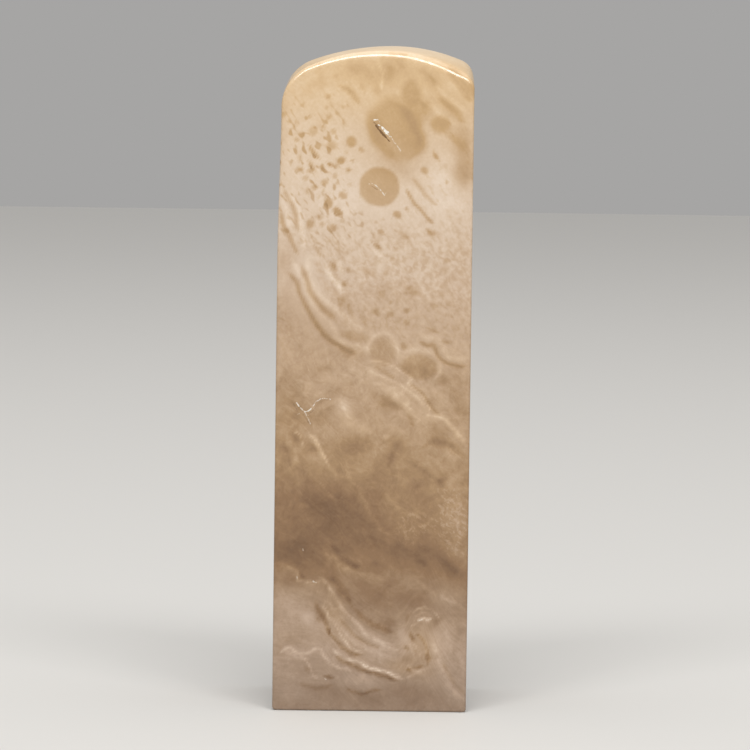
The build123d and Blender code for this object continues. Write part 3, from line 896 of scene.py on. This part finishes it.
fields = figureOfStone(points)
fields["satin"], fields["faceted"] = finishOfDome(points, stoneBlock)
for name, values in fields.items():
    mesh.attributes.new(name, "FLOAT", "POINT").data.foreach_set("value", values.astype(np.float32))
mesh.attributes.new("grain", "FLOAT_VECTOR", "POINT").data.foreach_set(
    "vector", (grainOfStone(points) * mm).astype(np.float32).ravel())
print("figure drawn")


# Finish of the stone

polish = {
    # tone, and its colour on the screen
    "honey": [(0.0, (116, 84, 52)), (0.2, (142, 108, 74)), (0.37, (164, 131, 93)), (0.5, (182, 149, 111)),
              (0.65, (201, 167, 123)), (0.82, (224, 192, 150)), (1.0, (246, 222, 184))],
    "rose": [(0.0, (114, 92, 74)), (0.2, (140, 116, 96)), (0.37, (163, 138, 116)), (0.5, (182, 156, 133)),
             (0.65, (202, 177, 154)), (0.82, (224, 202, 179)), (1.0, (246, 230, 212))],
    # the last colour here is the painted shadow beside the cracks
    "crystalColour": (250, 246, 236), "dullCrystal": (206, 180, 148), "paintedCrackShadowColour": (120, 90, 62),
    "light": 1.25, "sheen": 0.034,  # how brightly the front is lit, and the reflection that lies on it
    "blushOfPits": 2.2, "blushTone": 0.45, "blushByTone": 1.0,

    # noises: size in millimetres, detail, how far drawn out, where blobs begin and are full, change of tone
    "dimple": {"size": 0.62, "detail": 0.5, "stretch": (0.55, 1, 1), "edge": (0.53, 0.71), "tone": 0.21},
    "leather": {"size": 0.6, "detail": 1.5, "stretch": (0.75, 1, 1), "edge": (0.32, 0.76), "tone": 0.11},
    "streak": {"size": 1.9, "detail": 2.0, "stretch": (0.25, 1, 0.5), "edge": (0.48, 0.66), "tone": 0.17},
    "scale": {"size": 0.5, "detail": 3.0, "roughness": 0.6, "stretch": (0.7, 1, 1), "edge": (0.47, 0.62),
              "tone": 0.11},
    "cloud": {"size": 4.0, "detail": 7.0, "roughness": 0.6, "distortion": 1.2, "tone": 0.22},
    "mottle": {"size": 1.5, "detail": 5.0, "roughness": 0.62, "distortion": 1.0, "tone": 0.17},
    "wisp": {"size": 3.0, "detail": 4.0, "distortion": 1.2, "stretch": (0.45, 1, 0.6), "edge": (1.3, 2.6),
             "tone": 0.18, "ridges": {"Offset": 1.0, "Gain": 1.5}},
    "silk": {"size": 0.9, "detail": 3.0, "distortion": 0.4, "stretch": (0.16, 1, 0.35), "tone": 0.1},
    "thread": {"size": 0.32, "detail": 2.0, "distortion": 0.3, "stretch": (0.12, 1, 0.3), "tone": 0.06},
    "speck": {"size": 0.35, "detail": 3.0, "tone": 0.05},
    "torn": {"size": 0.8, "detail": 4.0, "roughness": 0.6, "tone": 1.75},  # a change of the veins' strength
    "patch": {"size": 3.5, "detail": 2.0}, "patchLeast": 0.3, "patchRise": 1.4,
    "swirl": {"size": 1.6, "detail": 2.0}, "swirlReach": 0.9, "lean": -55, "blobLoss": 0.08,

    "splinter": {"size": 0.3, "detail": 3.0, "roughness": 0.6, "edge": (0.42, 0.54)},
    "uneven": {"size": 1.3, "detail": 3.0}, "unevenRise": 2.6, "unevenLoss": 0.6,  # the cracks' width
    "crackRaggedness": 0.3, "crackEdge": 0.04,

    "roughness": 0.2, "domeRoughness": 0.45, "smear": {"size": 2.5, "detail": 3.0, "tone": 0.04},
    "ripple": {"size": 2.2, "detail": 2.0}, "rippleHeight": 0.012, "ior": 1.57,
    "facet": {"size": 0.36, "detail": 1.0, "edge": (0.42, 0.58)}, "facetDullness": 0.9,
    "coatRoughness": 0.05, "coatIor": 1.5,
}


def polishedStone():
    # tone is the drawn figure less the pits, with clouds, wisps and silk; it picks a honey and a rose colour,
    # and blush mixes them. Crystals and a painted shadow beside the cracks lie on top, under a clear coat
    # that satin and facets break up
    finish = Finish("polished_stone")
    place = finish.add("TexCoord", out=3)
    onFront = finish.add("VectorMath", {"operation": "MULTIPLY"}, {0: place, 1: (1, 0, 1)})

    def field(name, out=2):
        return finish.add("Attribute", {"attribute_name": name}, out=out)

    def noise(name, vector, out=0):
        # that noise of the dictionary, drawn out along x and z by its stretch
        layer = polish[name]
        if "stretch" in layer:
            vector = finish.add("Mapping", values={"Vector": vector, "Scale": layer["stretch"]})
        kind = "RIDGED_MULTIFRACTAL" if "ridges" in layer else "FBM"
        return finish.add("TexNoise", {"noise_type": kind}, {
            "Vector": vector, "Scale": 1 / (layer["size"] * mm), "Detail": layer["detail"],
            "Roughness": layer.get("roughness", 0.5), "Distortion": layer.get("distortion", 0.0),
            **layer.get("ridges", {})}, out)

    def swing(name, vector):
        # the noise about its middle, as a change of tone both ways
        return (noise(name, vector) - 0.5) * (2 * polish[name]["tone"])

    def blobs(name, vector, share):
        # irregular blobs where the noise is high; a small share leaves few of them
        high = noise(name, vector) - polish["blobLoss"] * (1 - share)
        return finish.between(high, *polish[name]["edge"]) * share * polish[name]["tone"]

    def stoneColour(seen):
        return fromScreen(*seen, polish["light"], polish["sheen"])

    def ramp(name, tone):
        return finish.add("ValToRGB", {"stops": [(at, stoneColour(seen)) for at, seen in polish[name]]},
                          {"Fac": tone})

    splinters = noise("splinter", place)
    ragged = (splinters - 0.5) * (polish["crackRaggedness"] * mm)
    uneven = polish["unevenRise"] * noise("uneven", place) - polish["unevenLoss"]

    def nearLine(chain):
        # distance from a chain of straight runs: from each run's nearest point, a share along the run
        closest = None
        for (x0, z0), (x1, z1) in zip(chain, chain[1:]):
            span = ((x1 - x0) * mm, 0, (z1 - z0) * mm)
            squared = span[0] ** 2 + span[2] ** 2
            away = finish.add("VectorMath", {"operation": "SUBTRACT"}, {0: onFront, 1: (x0 * mm, 0, z0 * mm)})
            reach = finish.add("VectorMath", {"operation": "DOT_PRODUCT"},
                               {0: away, 1: tuple(side / squared for side in span)}, out=1)
            nearest = finish.add("VectorMath", {"operation": "SCALE"},
                                 {0: span, "Scale": finish.add("Clamp", values={"Value": reach})})
            apart = finish.add("VectorMath", {"operation": "DISTANCE"}, {0: away, 1: nearest}, out=1)
            closest = apart if closest is None else closest.maths("MINIMUM", closest, apart)
        return closest

    def drawCracks(marks):
        # 1 inside the cracks' uneven width, 0 outside
        strongest = 0.0
        edge = polish["crackEdge"] * mm
        for halfWidth, strength, chain in marks:
            inside = (halfWidth * mm) * uneven + ragged - nearLine(chain)
            shown = finish.between(inside, -edge, edge) * strength
            strongest = shown.maths("MAXIMUM", shown, strongest)
        return strongest * field("onFace")

    swirl = finish.add("VectorMath", {"operation": "SCALE"},
                       {0: noise("swirl", place, out=1), "Scale": polish["swirlReach"] * mm})
    lean = math.radians(polish["lean"])
    leaning = finish.add("Mapping", values={"Vector": place, "Rotation": (0, lean, 0)})
    bent = finish.add("VectorMath", {"operation": "ADD"}, {0: leaning, 1: swirl})
    unrest = finish.add("VectorMath", {"operation": "ADD"}, {0: field("grain", 1), 1: swirl})
    satin = field("satin")

    pits = blobs("dimple", leaning, field("flecks")) + blobs("leather", bent, field("leather"))
    pits = pits * (polish["patchLeast"] + polish["patchRise"] * noise("patch", place))
    pits = (pits + blobs("streak", bent, field("streaks")) * (1 - satin)
            - blobs("scale", bent, field("scaly")))
    clouds = swing("cloud", place) + swing("mottle", place)
    wisps = finish.between(noise("wisp", unrest), *polish["wisp"]["edge"]) * polish["wisp"]["tone"]
    threads = swing("silk", unrest) + swing("thread", unrest)
    tone = (field("tone") + field("strokes") * (1 + field("torn") * swing("torn", place)) - pits
            + (clouds + wisps) * field("clouds") + threads * field("silk") + swing("speck", place))

    blush = (field("blush") - polish["blushOfPits"] * pits
             + (tone - polish["blushTone"]) * polish["blushByTone"])
    colour = finish.mixColours(blush, ramp("honey", tone), ramp("rose", tone))
    # painted shadow along the dark side of the cracks
    colour = finish.mixColours(drawCracks(crackShadows), colour, (*stoneColour(polish["paintedCrackShadowColour"]), 1))
    crystal = finish.mixColours(finish.between(splinters, *polish["splinter"]["edge"]),
                                (*stoneColour(polish["dullCrystal"]), 1),
                                (*stoneColour(polish["crystalColour"]), 1))
    colour = finish.mixColours(drawCracks(crystals), colour, crystal)

    roughness = (polish["roughness"] + swing("smear", place)
                 + satin * (polish["domeRoughness"] - polish["roughness"]))
    dull = finish.between(noise("facet", place), *polish["facet"]["edge"]) * field("faceted")
    coat = (1 - satin) * (1 - dull * polish["facetDullness"])
    ripple = finish.add("Bump", values={"Height": noise("ripple", place),
                                        "Distance": polish["rippleHeight"] * mm})
    finish.add("BsdfPrincipled", values={
        "Base Color": colour, "IOR": polish["ior"], "Roughness": roughness, "Normal": ripple,
        "Coat Weight": coat, "Coat Roughness": polish["coatRoughness"], "Coat IOR": polish["coatIor"]})
    return finish.show()


mesh.materials.append(polishedStone())
print("stone finished")


# Floor, camera and light

studio = {
    "floorRadius": 6000.0, "floorCorners": 96, "floorColour": (204, 202, 198), "floorRoughness": 0.6,
    "cameraAt": (0.0, -532.5, 70.0), "cameraAim": (0.233, 0.0, 42.743), "cameraRoll": 0.735,
    "focalPixels": 4060.6, "imagePixels": 750, "sensorWidth": 36.0, "nearest": 0.01, "furthest": 30.0,
    "roomColour": (166, 165, 164), "sunEnergy": 0.9, "sunAngle": 60,
    "arch": {"centre": (0, 0, 60), "fromFront": 48, "distance": 2500, "spread": 40, "panels": 5,
             "thickness": 1000, "radiance": 7.6},
}


def layFloor():
    # a wide flat disc under the stone: the points of a ring at equal turns
    turn = np.linspace(0, 2 * math.pi, studio["floorCorners"], endpoint=False)
    ring = np.stack([np.cos(turn), np.sin(turn), 0 * turn], axis=-1) * studio["floorRadius"] * mm
    sheet = bpy.data.meshes.new("studio_floor")
    sheet.from_pydata(ring.tolist(), [], [list(range(len(ring)))])
    finish = Finish("pale_floor")
    finish.add("BsdfPrincipled", values={"Base Color": (*fromScreen(*studio["floorColour"]), 1),
                                         "Roughness": studio["floorRoughness"]})
    sheet.materials.append(finish.show())
    floor = addObject("studio_floor", sheet)


def setCamera():
    # the camera looks from its place to its aim, and is then rolled about its line of sight
    at, aim = Vector(studio["cameraAt"]) * mm, Vector(studio["cameraAim"]) * mm
    sight = (aim - at).normalized()
    level = sight.cross(Vector((0, 0, 1))).normalized()
    upward = level.cross(sight)
    roll = math.radians(studio["cameraRoll"])
    side = level * math.cos(roll) + upward * math.sin(roll)
    over = side.cross(sight)
    lens = bpy.data.cameras.new("studio_camera")
    lens.sensor_width = studio["sensorWidth"]
    lens.lens = studio["focalPixels"] / studio["imagePixels"] * lens.sensor_width
    lens.clip_start, lens.clip_end = studio["nearest"], studio["furthest"]  # metres
    camera = addObject("studio_camera", lens)
    camera.matrix_world = Matrix((side, over, -sight)).transposed().to_4x4()
    camera.matrix_world.translation = at
    bpy.context.scene.camera = camera


def softLight(name, at, aim, width, length, radiance):
    # a panel that faces its aim; its power is radiance * pi * area
    lamp = bpy.data.lights.new(name, "AREA")
    lamp.shape = "RECTANGLE"
    lamp.size, lamp.size_y = width * mm, length * mm
    lamp.energy = radiance * math.pi * lamp.size * lamp.size_y
    holder = addObject(name, lamp)
    holder.location = at
    holder.rotation_euler = (aim - at).to_track_quat("-Z", "Y").to_euler()


def softArch(name, arch):
    # panels side by side on an arch above and before the stone, all as far from it and turned to it
    centre = Vector(arch["centre"]) * mm
    polar, reach = math.radians(arch["fromFront"]), arch["distance"] * mm
    step = 2 * math.radians(arch["spread"]) / arch["panels"]
    width = 2 * arch["distance"] * math.sin(polar) * math.tan(step / 2)
    for n in range(arch["panels"]):
        tilt = (n + 0.5) * step - math.radians(arch["spread"])
        out = math.sin(polar)
        towards = Vector((out * math.sin(tilt), -math.cos(polar), out * math.cos(tilt)))
        at = centre + towards * reach
        softLight(f"{name}_{n + 1}", at, centre, width, arch["thickness"], arch["radiance"])


layFloor()
setCamera()
softArch("arch", studio["arch"])
sun = bpy.data.lights.new("floor_light", "SUN")
sun.angle, sun.energy = math.radians(studio["sunAngle"]), studio["sunEnergy"]
addObject("floor_light", sun)
world = bpy.data.worlds.new("studio_world")
bpy.context.scene.world = world
world.use_nodes = True
world.node_tree.nodes["Background"].inputs["Color"].default_value = (*fromScreen(*studio["roomColour"]), 1)
bpy.context.scene.view_settings.view_transform = "Standard"
print("studio set")
